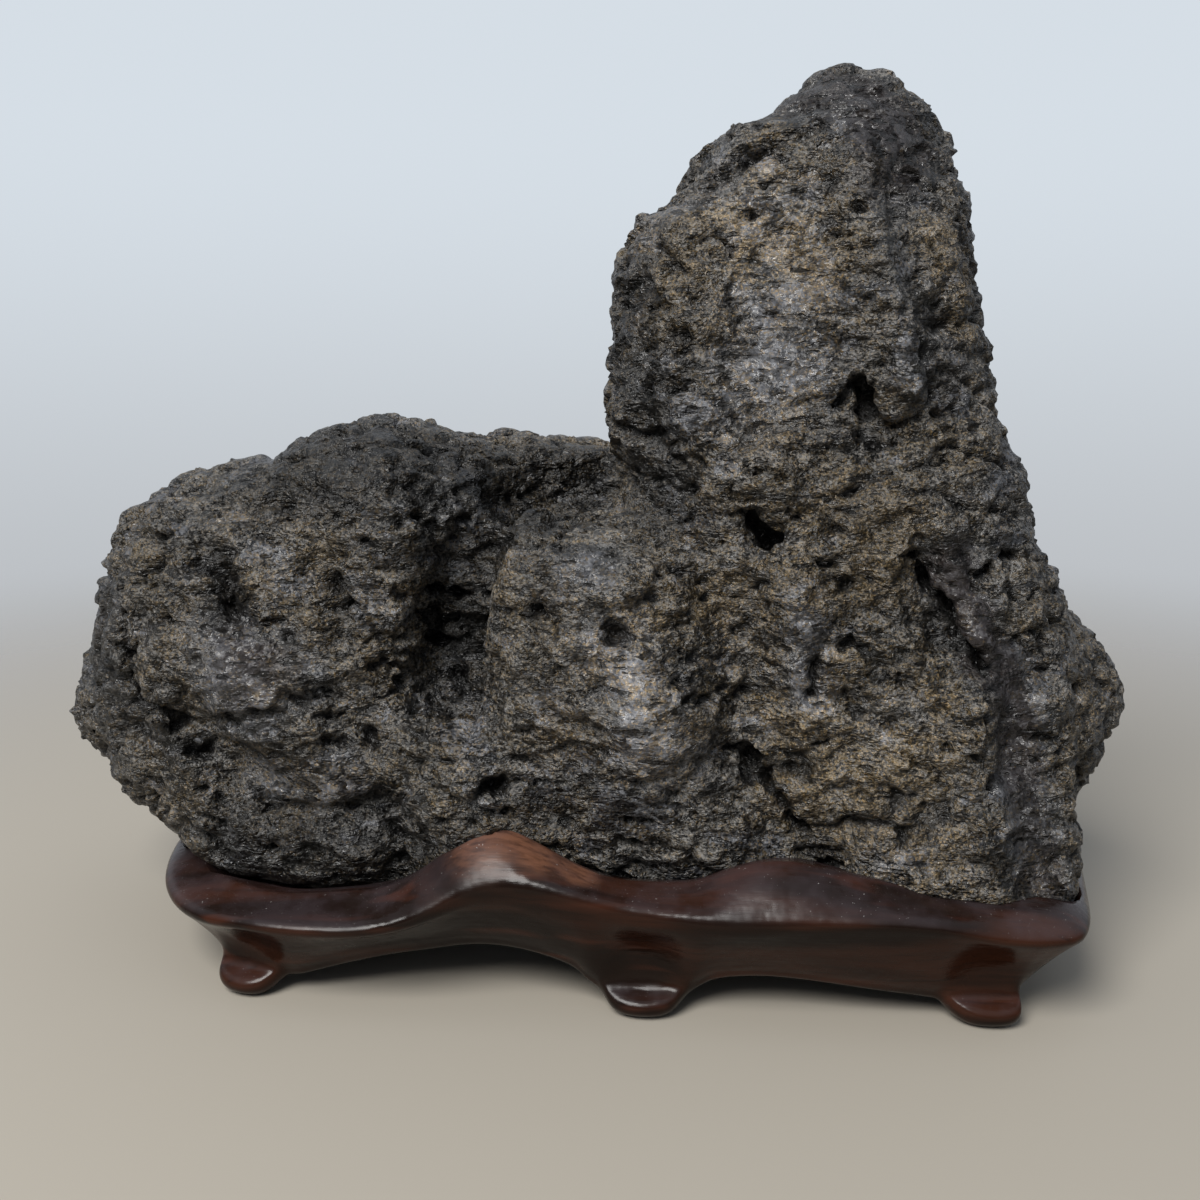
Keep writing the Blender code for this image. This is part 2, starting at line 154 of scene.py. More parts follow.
# %% Strokes on the front of the stone
# Each stroke is (profile, rise, radius, path). All of them are then cut a little deeper than listed.
DEEPENED = 1.35
FRONT_STROKES = [
    # the boulder on the left
    ("pit", -3.2, 2.6, [(-76, 90), (-75.5, 87)]),
    ("pit", -3.4, 2.4, [(-74, 83.5), (-73, 82)]),
    ("swell", -2.0, 8.0, [(-77, 92), (-74, 80)]),
    ("pit", -2.2, 1.6, [(-73, 103), (-70.5, 103.5)]),
    ("pit", -2.0, 1.5, [(-91, 100.5), (-88, 100)]),
    ("pit", -1.6, 3.6, [(-67, 103), (-64.5, 103)]),
    ("swell", 2.2, 4.5, [(-60, 98), (-59, 93)]),
    ("pit", -3.0, 2.0, [(-52, 89), (-51, 86)]),
    ("pit", -2.4, 2.0, [(-48, 83), (-46, 81)]),
    ("pit", -3.0, 2.6, [(-31, 84), (-26, 82)]),
    ("pit", -2.6, 2.0, [(-22, 86), (-20, 83)]),
    ("pit", -2.8, 2.2, [(-33, 78), (-32, 72)]),
    ("ledge", 1.8, 3.0, [(-30, 77), (-24, 76), (-20, 77)]),
    ("pit", -2.6, 2.0, [(-39, 68), (-37, 66)]),
    ("pit", -3.0, 2.4, [(-30, 64), (-25, 62)]),
    ("pit", -2.0, 1.6, [(-44, 66), (-42.5, 66)]),
    ("pit", -2.2, 1.8, [(-43.5, 55), (-42.5, 52.5)]),
    ("plate", 1.8, 8.0, [(-66, 44), (-55, 43), (-49, 45)]),
    ("ledge", 2.4, 5.5, [(-70, 40), (-60, 38.5), (-52, 39), (-46, 41.5)]),
    ("ledge", 1.5, 4.0, [(-82, 57), (-74, 60), (-66, 62), (-58, 63)]),
    ("pit", -3.0, 2.6, [(-93, 60.5), (-90, 59.5)]),
    ("pit", -2.6, 2.4, [(-88, 58), (-85, 56)]),
    ("pit", -3.2, 2.8, [(-82, 50), (-80, 49)]),
    ("pit", -2.2, 1.8, [(-82, 41), (-80, 40.5)]),
    ("pit", -2.0, 1.6, [(-79, 35), (-76, 34.5)]),
    ("pit", -2.2, 1.9, [(-66, 29), (-64, 29)]),
    ("pit", -2.0, 1.6, [(-60, 25), (-57, 25)]),
    ("plate", 1.0, 8.5, [(-71, 73), (-68, 67)]),
    ("plate", 1.0, 7.0, [(-41, 101), (-38, 97)]),
    ("plate", 1.2, 6.0, [(-45, 86), (-42, 80)]),
    ("plate", 0.9, 6.5, [(-66, 92), (-65, 84)]),
    ("plate", 1.0, 6.5, [(-24, 54), (-19, 50)]),
    ("pit", -2.2, 2.0, [(-101, 86), (-101, 76), (-99, 66), (-97, 57)]),
    ("swell", 1.4, 4.0, [(-96, 84), (-95, 72), (-93, 62)]),
    ("pit", -3.4, 2.4, [(-16, 46), (-13, 45.5)]),
    ("pit", -2.4, 2.0, [(-15, 41), (-12, 40.5)]),
    # the lobe in the middle
    ("plate", 1.8, 6.5, [(-9, 91), (0, 90), (6, 91)]),
    ("ledge", -1.6, 4.0, [(-13, 94), (-6, 96.5), (-1, 98), (5, 100)]),
    ("pit", -2.6, 3.4, [(10, 79.5), (12.5, 78)]),
    ("swell", 1.2, 4.0, [(13, 80), (14, 77)]),
    ("plate", 1.5, 9.5, [(14, 71), (18, 62), (16, 56)]),
    ("plate", 0.8, 8.0, [(-2, 62), (2, 56)]),
    ("ledge", 1.3, 4.0, [(4, 63), (10, 57), (14, 50)]),
    ("pit", -2.6, 1.9, [(11.5, 34), (14, 34)]),
    ("plate", 0.9, 6.5, [(10, 42), (16, 39)]),
    ("pit", -3.4, 2.2, [(36, 53), (39, 51)]),
    ("pit", -3.6, 2.4, [(38, 49.5), (42, 46.5)]),
    ("pit", -2.6, 1.7, [(42, 46), (46, 41)]),
    ("pit", -2.8, 1.6, [(47, 38.5), (50, 34.5)]),
    # the tower
    ("pit", -2.6, 1.7, [(41, 173)]),
    ("pit", -2.8, 1.8, [(59.5, 168), (61, 167.5)]),
    ("pit", -2.2, 1.6, [(32.5, 161), (33.5, 159)]),
    ("pit", -1.8, 1.9, [(38, 166)]),
    ("pit", -2.0, 2.2, [(17, 159)]),
    ("pit", -2.0, 2.4, [(23, 141), (23.5, 140)]),
    ("pit", -1.5, 1.4, [(39, 158), (39, 156)]),
    ("pit", -1.5, 1.2, [(59, 155)]),
    ("pit", -4.6, 2.6, [(59.5, 130), (63, 127.5)]),
    ("pit", -3.6, 1.8, [(56.5, 127.5), (60, 129)]),
    ("pit", -3.4, 2.8, [(63, 127), (65, 122)]),
    ("pit", -2.2, 3.2, [(62, 122), (65, 117)]),
    ("swell", 1.4, 3.0, [(58, 133), (64, 133)]),
    ("plate", 2.4, 4.6, [(69.5, 137), (69.5, 131), (68, 125)]),
    ("ledge", 1.2, 3.0, [(72.5, 144), (72, 136), (71, 129), (68.5, 123)]),
    ("pit", -2.2, 1.9, [(74, 138.5), (77, 137.5)]),
    ("pit", -2.2, 1.6, [(77, 128), (79, 127.5)]),
    ("ledge", 2.0, 4.5, [(33, 177), (38, 180), (44, 183), (52, 186)]),
    ("ledge", 1.8, 4.0, [(25, 170), (32, 177), (43, 183)]),
    ("swell", 1.8, 8.0, [(17, 166), (24, 166)]),
    ("ledge", 1.5, 3.5, [(82, 167), (82.5, 155), (82, 143), (81, 124)]),
    ("ledge", 1.2, 3.0, [(72, 146), (72.5, 138)]),
    ("plate", 0.9, 14.0, [(44, 160), (50, 146), (48, 134)]),
    ("plate", 1.0, 6.5, [(25, 124), (31, 117)]),
    ("plate", 1.2, 8.0, [(58, 184), (66, 186)]),
    # the flank on the right
    ("pit", -4.6, 2.4, [(39, 100), (41, 97)]),
    ("pit", -3.4, 1.8, [(40.5, 97), (43.5, 98.5)]),
    ("pit", -2.4, 1.8, [(36.5, 102), (39, 102.5)]),
    ("swell", 1.3, 2.6, [(44, 101), (47, 98)]),
    ("pit", -2.6, 1.6, [(45.5, 104), (48, 101.5)]),
    ("pit", -2.2, 1.7, [(57, 89.5), (58, 88.5)]),
    ("pit", -1.8, 1.5, [(56, 100.5)]),
    ("pit", -3.4, 1.9, [(72, 94), (75.5, 88)]),
    ("pit", -3.0, 1.6, [(75.5, 88), (78.5, 80), (82, 75), (87, 72)]),
    ("ledge", -1.6, 4.0, [(79, 73), (83, 71.5), (87, 70.5), (89, 67)]),
    ("plate", 2.4, 4.2, [(79, 91), (82, 84), (86, 78)]),
    ("pit", -2.6, 2.0, [(58, 77.5), (62, 75.5)]),
    ("pit", -2.4, 2.0, [(51, 73), (50.5, 66)]),
    ("pit", -2.4, 1.4, [(81.5, 54), (85, 54.3)]),
    ("ledge", 1.8, 3.2, [(59, 39.5), (63, 41.3), (67, 41.5), (71, 39)]),
    ("pit", -1.6, 1.8, [(69, 38), (69, 34)]),
    ("plate", 1.2, 6.5, [(49, 84), (52, 74), (51, 66)]),
    ("swell", 2.0, 4.5, [(89.5, 86), (90, 83)]),
    ("pit", -2.6, 2.2, [(87.5, 91.5)]),
    ("pit", -1.4, 1.8, [(87, 67), (87, 54), (88, 38)]),
    ("plate", 0.6, 8.5, [(95, 66), (95, 50), (95, 36)]),
    ("ledge", 1.4, 3.2, [(104, 50), (113, 50), (119, 51)]),
]


PIT_FLOOR, PLATE_FLAT, LEDGE_STEP = 0.3, 0.62, 4.5


def smoothstep(low, high, value):
    """Passes from 0 to 1 as the value goes from low to high, with a soft start and end."""
    t = np.clip((value - low) / (high - low), 0, 1)
    return t * t * (3 - 2 * t)


def stroke_profile(profile, t, across):
    """How much of a stroke there is at a share t of its radius away; a ledge turns over at its path."""
    if profile == "swell":
        return (1 - t * t) ** 2
    if profile == "pit":
        return 1 - smoothstep(PIT_FLOOR, 1.0, t)
    if profile == "plate":
        return 1 - smoothstep(PLATE_FLAT, 1.0, t)
    return (1 - t * t) ** 2 * np.tanh(across * LEDGE_STEP)


print("strokes on the front:", len(FRONT_STROKES))

# %% [markdown]
# ## The stone: the strokes on its skin
# A path is given on the flat (x, z) picture of the front, so a ray is sent straight back from each of
# its places to find the skin. The strokes are then worked out one at a time on the few points near
# them, which a k-d tree finds quickly.


# %% Work the strokes into a height for every point
ZONE_FULL = 0.33


class Skin:
    """The points of the stone in millimetres, their normals, and how far each one is to rise."""

    def __init__(self, obj):
        self.mesh = obj.data
        self.points = get_points(self.mesh) / MM
        self.normals = get_points(self.mesh, "vertex_normals", "vector")
        self.rise = np.zeros(len(self.points))
        self.plate = np.zeros(len(self.points))
        self.shade = np.zeros(len(self.points))
        self.dust = np.zeros(len(self.points))
        self.calm = np.zeros(len(self.points))
        self.strayed = np.array([self.stray(point) for point in self.points])
        self.tree = kdtree.KDTree(len(self.points))
        for index, point in enumerate(self.strayed):
            self.tree.insert(point, index)
        self.tree.balance()
        self.cast = BVHTree.FromObject(obj, bpy.context.evaluated_depsgraph_get())

    @staticmethod
    def stray(point):
        """A place moved a little by noise, so that no stroke has an even outline."""
        place = Vector(point)
        return place + noise.noise_vector(place / 7) * 2.0 + noise.noise_vector(place / 2.4) * 1.3

    def on_front(self, x, z):
        """The place on the skin straight behind (x, z)."""
        start = Vector((x * MM, -0.5, z * MM))
        found = self.cast.ray_cast(start, Vector((0, 1, 0)))[0]
        if found is None:
            found = self.cast.find_nearest(Vector((x * MM, 0.0, z * MM)))[0]
        return np.array(found) / MM

    def near_path(self, path, radius):
        """The points near a path, and how far off and how far above it each one is, in radii."""
        middle = path.mean(axis=0)
        reach = radius + np.linalg.norm(path - middle, axis=1).max()
        index = np.array([found[1] for found in self.tree.find_range(middle, reach)], int)
        if len(index) == 0:
            return index, np.zeros(0), np.zeros(0)
        points = self.strayed[index]
        best = np.full(len(index), np.inf)
        above = np.zeros(len(index))
        legs = zip(path, path[1:]) if len(path) > 1 else [(path[0], path[0])]
        for start, end in legs:
            leg = end - start
            along = np.clip((points - start) @ leg / max(leg @ leg, 1e-9), 0, 1)
            offset = points - start - along[:, None] * leg
            away = np.linalg.norm(offset, axis=1)
            closer = away < best
            best[closer] = away[closer]
            above[closer] = offset[closer, 2]
        near = best < radius
        return index[near], best[near] / radius, above[near] / radius

    def stroke(self, profile, rise, radius, path):
        index, t, across = self.near_path(np.asarray(path, float), radius)
        weight = stroke_profile(profile, t, across)
        self.rise[index] += rise * weight
        if profile == "plate":
            self.plate[index] = np.maximum(self.plate[index], weight)

    def zone(self, shade, dust, calm, radius, path):
        """Changes the skin near a path, fully out to a third of the radius and then less and less."""
        index, t, _ = self.near_path(np.asarray(path, float), radius)
        weight = smoothstep(1.0, ZONE_FULL, t)
        for field, value in ((self.shade, shade), (self.dust, dust), (self.calm, calm)):
            field[index] += (value - field[index]) * weight


skin = Skin(stone)
for profile, rise, radius, path in FRONT_STROKES:
    skin.stroke(profile, rise * DEEPENED, radius, [skin.on_front(x, z) for x, z in path])
print("strokes laid, rise in mm from", skin.rise.min().round(2), "to", skin.rise.max().round(2))

# %% [markdown]
# ## The stone: its zones
# The stone isn't the same all over. Dust lies thick on the granular right-hand side, the face of the
# tower is worn smooth, and a dark band of dense lava runs down the right. The zones also paint light
# and shade: the boulder's top, folds and underside, the hollow beside the tower, the tower's left
# flank and its summit are darkened as painted shade, and the lobe, the face of the tower and the
# right flank are lightened as painted light. This could be painted by hand, but a few broad soft zones
# hold it as well and are easy to change. Each has a tone, which is how many times the colour is
# doubled or halved and holds the painted light and shade, a share of dust and a share of calm, which
# is how far the surface is worn smooth.

# %% Zones of the stone
# Each zone is (tone with painted light and shade, in doublings, dust, calm, radius, path).
ZONES = [
    (-1.75, 0.0, 0.1, 22, [(-60, 112), (-42, 115), (-27, 110)]),
    (0.10, 0.4, 0.0, 14, [(-58, 92), (-60, 80), (-71, 85)]),
    (0.10, -0.6, 0.80, 14, [(-75, 75), (-67, 64), (-62, 70)]),
    (0.20, -0.4, 0.7, 9, [(-66, 44), (-58, 43), (-50, 46)]),
    (-0.45, -0.5, 0.4, 13, [(-109, 80), (-111, 66), (-107, 54)]),
    (-0.95, -0.2, 0.1, 13, [(-74, 30), (-52, 27), (-36, 27), (-16, 32)]),
    (-1.80, 0.3, 0.1, 15, [(-16, 106), (-4, 106), (-16, 97)]),
    (-0.85, -0.2, 0.3, 14, [(10, 150), (14, 133), (16, 120), (18, 106)]),
    (-1.55, -0.3, 0.0, 12, [(-27, 84), (-26, 72), (-29, 62)]),
    (-0.55, -0.3, 0.5, 10, [(-3, 91), (7, 93)]),
    (0.90, -0.1, 0.75, 15, [(9, 78), (17, 63), (22, 54)]),
    (0.75, 0.4, 0.65, 18, [(37, 170), (43, 158), (48, 150)]),
    (0.80, -0.2, 0.8, 17, [(41, 143), (40, 128)]),
    (0.10, -0.5, 0.5, 13, [(64, 176), (69, 162), (76, 146), (79, 135)]),
    (-0.75, -0.9, 0.9, 16, [(50, 194), (62, 191), (71, 181)]),
    (0.10, 0.8, 0.2, 9, [(77, 162), (84, 143)]),
    (-0.15, 0.9, 0.1, 11, [(60, 106), (67, 98), (64, 92)]),
    (0.50, 0.5, 0.3, 18, [(40, 86), (48, 69), (55, 52), (63, 36)]),
    (0.50, 0.6, 0.3, 14, [(70, 62), (73, 46), (77, 33)]),
    (0.50, 0.0, 0.5, 14, [(111, 72), (114, 60)]),
    (-0.55, -1.1, 0.85, 10.5, [(79, 92), (82, 82), (88, 72), (92, 62), (95, 48), (97, 36), (98, 26)]),
    (0.70, -0.4, 0.6, 6, [(50, 80), (48, 66)]),
    (0.25, -0.5, 0.7, 7, [(16, 161), (22, 167), (31, 174)]),
]
for shade, dust, calm, radius, path in ZONES:
    skin.zone(shade, dust, calm, radius, [skin.on_front(x, z) for x, z in path])
WANDER_SIZE, WANDER_SHADE, WANDER_DUST = 24, 0.35, 0.6
wander = np.array([noise.noise_vector(Vector(point) / WANDER_SIZE) for point in skin.points])
skin.shade += WANDER_SHADE * wander[:, 0]
skin.dust += WANDER_DUST * wander[:, 1]
print("zones:", len(ZONES), "shade from", skin.shade.min().round(2), "to", skin.shade.max().round(2))

# %% [markdown]
# ## The stone: its whole skin
# Lava cools in thin flows full of gas, so its skin has level shelves, small flat plates and long pits
# that lie the same way. They are all over the stone, on the sides and the back as well, so they are
# scattered. A seeded random number generator picks the same places each time that the script runs.

# %% Scatter pits, shelves and plates over the whole skin
SCATTER = [
    # profile, how many, rise from and to, radius from and to, length from and to, most tilt
    ("plate", 420, 0.2, 0.8, 1.8, 4.5, 1.0, 6.0, 30),
    ("ledge", 1100, 0.6, 1.6, 1.5, 3.0, 3.0, 10.0, 22),
    ("pit", 1700, -0.8, -2.0, 0.8, 1.7, 0.4, 3.0, 24),
    ("pit", 500, -1.4, -2.8, 1.1, 1.8, 2.5, 6.5, 18),
]
LEVEL_TURN, SCATTER_CALMED = 4, 0.8
chance = np.random.default_rng(31)


def level_path(point, normal, length, tilt):
    """A short path over the skin that runs nearly level, turned by a small angle."""
    level = np.cross(normal, (0, 0, 1))
    size = np.linalg.norm(level)
    level = level / size if size > 0.2 else np.array((1.0, 0.0, 0.0))
    up = np.cross(level, normal)
    way = level * math.cos(tilt) + up * math.sin(tilt)
    return np.array([point - way * length / 2, point + way * length / 2])


for profile, count, rise_a, rise_b, radius_a, radius_b, length_a, length_b, tilt in SCATTER:
    for index in chance.integers(0, len(skin.points), count):
        share = chance.random(4)
        path = level_path(
            skin.points[index],
            skin.normals[index],
            length_a + (length_b - length_a) * share[0],
            math.radians(tilt) * (2 * share[1] - 1) - math.radians(LEVEL_TURN),
        )
        radius = radius_a + (radius_b - radius_a) * share[2]
        rise = (rise_a + (rise_b - rise_a) * share[3]) * (1 - SCATTER_CALMED * skin.calm[index])
        skin.stroke(profile, rise, radius, path)
print("scattered strokes:", sum(kind[1] for kind in SCATTER))

# %% [markdown]
# ## The stone: the broken rock between its marks
# Between the marks the skin is never smooth. Layers of noise, from crags of 12 mm to grains of 2 mm,
# roughen it. Ridged noise makes the sharp crests of broken rock. Cells make chips, which are small
# faces that broke off at their own height and tilt, and plain noise alone would look like dough here.
# The input is squashed, so that crags and chips are longer than they are high. All of this is laid on
# thinly over the worn plates and the calm zones.

# %% Roughen the skin with layers of noise
CRAG_SIZE, CRAG_RISE = 12.0, 1.4
CHIP_SIZES, CHIP_RISES, CHIP_TILT, CHIP_GROOVE = (8.0, 4.0), (2.3, 1.3), 2.0, 0.25
BED_SIZE, BED_RISE = 5.2, 0.35
GRAIN_SIZE, GRAIN_RISE = 1.9, 0.35
FLOW = Vector((0.62, 0.62, 1.0))
COARSE_ON_PLATE, COARSE_ON_CALM, FINE_ON_WORN = 0.5, 0.45, 0.7


def flow_place(point, size):
    """A place in units of the size, squashed along the flow of the lava."""
    return Vector((point[0] * FLOW.x, point[1] * FLOW.y, point[2] * FLOW.z)) / size


def chips(place):
    """Broken faces: each cell of rock has its own height and its own tilt, with a groove round it."""
    away, centres = noise.voronoi(place)
    groove = min(1.0, (away[1] - away[0]) / CHIP_GROOVE)
    lean = noise.noise_vector(centres[0] * 5.3).dot(place - centres[0])
    return (noise.cell(centres[0] * 7.7) + 0.5) * 0.4 * groove + groove * 0.4 + lean * CHIP_TILT


def roughness_at(point):
    """The coarse and the fine height of the bare rock at a place, before it is worn."""
    place = Vector(point)
    bent = place + noise.noise_vector(place / 17) * 3.0 + noise.noise_vector(place / 4) * 0.8
    crag = noise.ridged_multi_fractal(flow_place(bent, CRAG_SIZE), 0.9, 2.1, 3, 1.0, 2.0) - 1.1
    broken = sum(chips(flow_place(bent, size)) * rise for size, rise in zip(CHIP_SIZES, CHIP_RISES))
    bed = (bent.z + 2.5 * noise.noise(place / 23)) / BED_SIZE % 1.0
    shelf = (bed**2.5 - 0.3) * (0.6 + 0.8 * noise.noise(place / 9))
    grain = noise.noise(flow_place(place, GRAIN_SIZE)) + 0.5 * noise.noise(place / (GRAIN_SIZE * 0.55))
    return crag * CRAG_RISE + shelf * BED_RISE, broken + grain * GRAIN_RISE


coarse, fine = np.array([roughness_at(point) for point in skin.points]).T
skin.rise += coarse * (1 - COARSE_ON_PLATE * skin.plate) * (1 - COARSE_ON_CALM * skin.calm)
skin.rise += fine * (1 - FINE_ON_WORN * skin.plate) * (1 - FINE_ON_WORN * skin.calm)
print("rise in mm:", np.percentile(skin.rise, [1, 25, 50, 75, 99]).round(2))

# %% [markdown]
# ## The stone: moving its points
# So far each point only has a number, its rise. Handling has blunted whatever stood out, so what rises
# is pressed down by half and what sinks stays deep. The rise is small where the wood holds the stone
# and nothing underneath, so the stone still fits its seat. A Displace modifier could move the points
# too, but the finish needs the numbers as well, so they are kept on the mesh. Last, a Decimate
# modifier thins the net.

# %% Move the points, then thin the net
STONE_LIMIT = 196000
SEAT_TOP, SEAT_FADE, BLUNTED, HELD = 24.0, 10.0, 0.55, 0.8
UNDERSIDE_FROM, UNDERSIDE_FULL = 19.0, 16.0

low, high = (np.array(corner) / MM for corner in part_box("rock"))
held = smoothstep(SEAT_TOP + SEAT_FADE, SEAT_TOP, skin.points[:, 2])
skin.rise -= np.median(skin.rise)
skin.rise = np.where(skin.rise > 0, skin.rise * BLUNTED * (1 - HELD * held), skin.rise)
skin.rise = skin.rise * (1 - smoothstep(UNDERSIDE_FROM, UNDERSIDE_FULL, skin.points[:, 2]))
moved = skin.points + skin.normals * skin.rise[:, None]
stone.data.vertices.foreach_set("co", (moved * MM).ravel())
stone.data.update()


def paint(mesh, name, values):
    """Keeps one number for each point on the mesh, for a material to read."""
    layer = mesh.attributes.new(name, "FLOAT", "POINT")
    layer.data.foreach_set("value", np.asarray(values, np.float32))


STONE_MARKS = {"plate": skin.plate, "relief": skin.rise}
STONE_MARKS |= {"shade": skin.shade, "dust": skin.dust, "calm": skin.calm}
for name, values in STONE_MARKS.items():
    paint(stone.data, name, values)
thinner = stone.modifiers.new("thinner", "DECIMATE")
thinner.ratio = min(1.0, STONE_LIMIT / triangle_count(stone.data))
applied(stone)
stone.data.shade_smooth()
print("stone:", triangle_count(stone.data), "triangles, marks:", list(STONE_MARKS))
print("plain stone's size:", (high - low).round(1), "furthest move:", np.abs(skin.rise).max().round(1))
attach(stone, "root")
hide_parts("rock")


# %% [markdown]
# ## The stand: one carved board
# The stand is carved from a single board. Its rim rises and falls with the stone, its widest line is a
# sharp crest at the ends and a soft roll in the middle, and it stands on six toes with low arches
# between them. It could be sculpted from a block, but a boat builder's way is surer: a table of
# stations round the plan gives the heights of the section at each, and a smooth curve joins them.

# %% The plan of the stand
# Each station is (x, y, crest height, rim height, arch height, how sharp the crest is, how far the wall
# leans in), in millimetres. The front comes first, from left to right.
STAND_PLAN = [
    (-92, -32, 18, 22, 5.5, 0.8, 1.45),
    (-86, -42, 17.5, 21.5, 4.6, 0.9, 1.3),
    (-77, -50, 17.5, 21.5, 4.5, 1.0, 1.15),
    (-67, -54, 18, 21, 4, 1.0, 1.0),
    (-57, -56, 18, 21.5, 4, 1.0, 1.0),
    (-46, -56.5, 18, 22.5, 7, 1.0, 1.0),
    (-36, -56.5, 19, 24, 9.5, 0.9, 1.0),
    (-27, -56, 22, 29.5, 10.7, 0.6, 1.0),
    (-20, -55.5, 26, 35.5, 11.9, 0.3, 1.0),
    (-13, -55.5, 28, 37.6, 12.0, 0.1, 1.0),
    (-6, -56, 28, 35, 11.2, 0.0, 1.0),
    (2, -56.5, 26.5, 30.5, 9, 0.0, 1.0),
    (11, -56.5, 24.5, 27.4, 5, 0.1, 1.0),
    (20, -56.5, 23, 26.8, 5, 0.2, 1.0),
    (29, -57, 22.5, 27.6, 6.5, 0.3, 1.0),
    (38, -57, 22.5, 31.3, 8, 0.5, 1.0),
    (47, -57, 23, 32.6, 8, 0.7, 1.0),
    (57, -57, 23.5, 30.8, 7, 0.8, 1.0),
    (68, -56.5, 23.5, 28.6, 5.5, 0.9, 1.0),
    (79, -55.5, 22.5, 27, 4.5, 1.0, 1.0),
    (90, -54.3, 20.5, 26, 4, 1.0, 1.1),
    (100, -53.4, 20, 25.5, 5, 1.0, 1.3),
    (107, -49.5, 20, 26, 6, 1.0, 1.6),
    (110.8, -40, 20, 26.5, 8, 0.9, 1.7),
    (113.6, -28, 20, 26, 8, 0.9, 1.5),
    (116.2, -15, 20.5, 25, 9, 0.8, 1.3),
    (117.2, 0, 20.5, 25, 9, 0.8, 1.2),
    (116.2, 15, 20.5, 25, 8, 0.8, 1.3),
    (112.4, 30, 20, 25, 7, 0.9, 1.5),
    (103.5, 43, 20, 25, 5.5, 1.0, 1.3),
    (92, 50.5, 20, 26, 4.5, 1.0, 1.1),
    (78, 53.5, 21, 28, 4.5, 0.9, 1.0),
    (60, 55, 22.5, 31.5, 8, 0.6, 1.0),
    (42, 55.5, 23, 32, 9, 0.4, 1.0),
    (24, 55.5, 22.5, 28.5, 6, 0.5, 1.0),
    (8, 55, 22, 27, 5.5, 0.6, 1.0),
    (-8, 54.5, 22, 29, 9, 0.5, 1.0),
    (-26, 54, 22, 32, 11, 0.3, 1.0),
    (-44, 53.5, 20, 28, 8, 0.6, 1.0),
    (-60, 52.5, 18.5, 24, 4.5, 0.9, 1.0),
    (-75, 48, 18, 22.5, 4.5, 1.0, 1.1),
    (-88, 37, 18, 22, 6, 0.9, 1.4),
    (-96, 20, 18.5, 22.5, 8, 0.8, 1.7),
    (-98, 0, 18.5, 22.5, 8, 0.8, 1.8),
    (-96, -18, 18.5, 22.5, 7, 0.8, 1.7),
]
# Each toe is (x, side, half width): side -1 is the front and side 1 the back.
TOES = [(-69.6, -1, 8.5), (17.8, -1, 8.6), (90.6, -1, 8.8)]
TOES += [(90.0, 1, 8.8), (16.0, 1, 8.6), (-69.0, 1, 8.5)]
STAND_STATIONS = 168
TOE_DENSITY, TOE_REACH = 3.0, 1.8
SPINE = (-52.0, 66.0)
STAND_SHIFT = Vector((-1.6, 0.8, 0.0))
CURVE_STEPS = 40


def curve_through(rows, index, t):
    """A smooth closed curve through the rows: where it is a share t past the row at index."""
    nearby = [rows[(index + k) % len(rows)] for k in (-1, 0, 1, 2)]
    before, here, after, beyond = (np.array(row, float) for row in nearby)
    bend = 2 * before - 5 * here + 4 * after - beyond
    twist = 3 * here - before - 3 * after + beyond
    return 0.5 * (2 * here + (after - before) * t + bend * t * t + twist * t**3)


def toe_offset(x, y):
    """How far along the stand the nearest toe on this side is, in half widths of the toe."""
    return min([abs(x - toe_x) / half for toe_x, side, half in TOES if y * side > 0] + [9.0])


def stations(count):
    """Places round the plan, closer together at the toes, where the form turns quickly."""
    shares = [(i, k / CURVE_STEPS) for i in range(len(STAND_PLAN)) for k in range(CURVE_STEPS)]
    fine = [curve_through(STAND_PLAN, i, t) for i, t in shares]
    steps = []
    for here, there in zip(fine, fine[1:] + fine[:1]):
        density = TOE_DENSITY if toe_offset(here[0], here[1]) < TOE_REACH else 1.0
        steps.append(np.hypot(*(there - here)[:2]) * density)
    run = np.concatenate([[0.0], np.cumsum(steps)])
    rows = np.array(fine + fine[:1])
    targets = run[-1] * np.arange(count) / count
    return np.array([np.interp(targets, run, column) for column in rows.T]).T


plan = stations(STAND_STATIONS)
print("stations:", len(plan), "length and depth:", np.ptp(plan[:, :2], axis=0).round(1))

# %% [markdown]
# ## The stand: its section
# The section at a station runs from the hollow underside, round the sole, up the wall, over the crest
# and up to the rim. At a toe its lower part swells out into a small tongue with a lip, the wall over
# the tongue is scooped out by a round gouge, and the arches on both sides sweep down into it. The toes
# could be separate pieces, but then a joint would show. So two tables hold the lower part, one between
# toes and one in the middle of a toe, and every station is a mix of both.


# %% The section of the stand
# Both are (out, height) pairs. Heights between toes are above the arch, a toe's are above the ground.
WALL_PART = [(-13.0, 2.0), (-11.2, 0.3), (-9.6, 0.0), (-8.7, 0.3), (-8.2, 1.4), (-7.9, 2.0)]
WALL_PART += [(-7.5, 2.6), (-7.0, 3.4), (-6.3, 4.6)]
TOE_PART = [(-13.0, 0.6), (-11.5, 0.0), (-7.5, 0.0), (-4.6, 0.2), (-2.8, 1.6), (-2.8, 3.4)]
TOE_PART += [(-4.4, 4.6), (-6.4, 5.3), (-7.6, 7.8)]
# Two more places up the wall: (share of the way to the crest, out between toes, out above a toe).
WALL_RISE = [(0.35, -4.0, -7.0), (0.65, -2.1, -3.9)]
TOE_ARCH, UNDERSIDE = 4.0, 12.0


def mix(a, b, t):
    return a + (b - a) * t


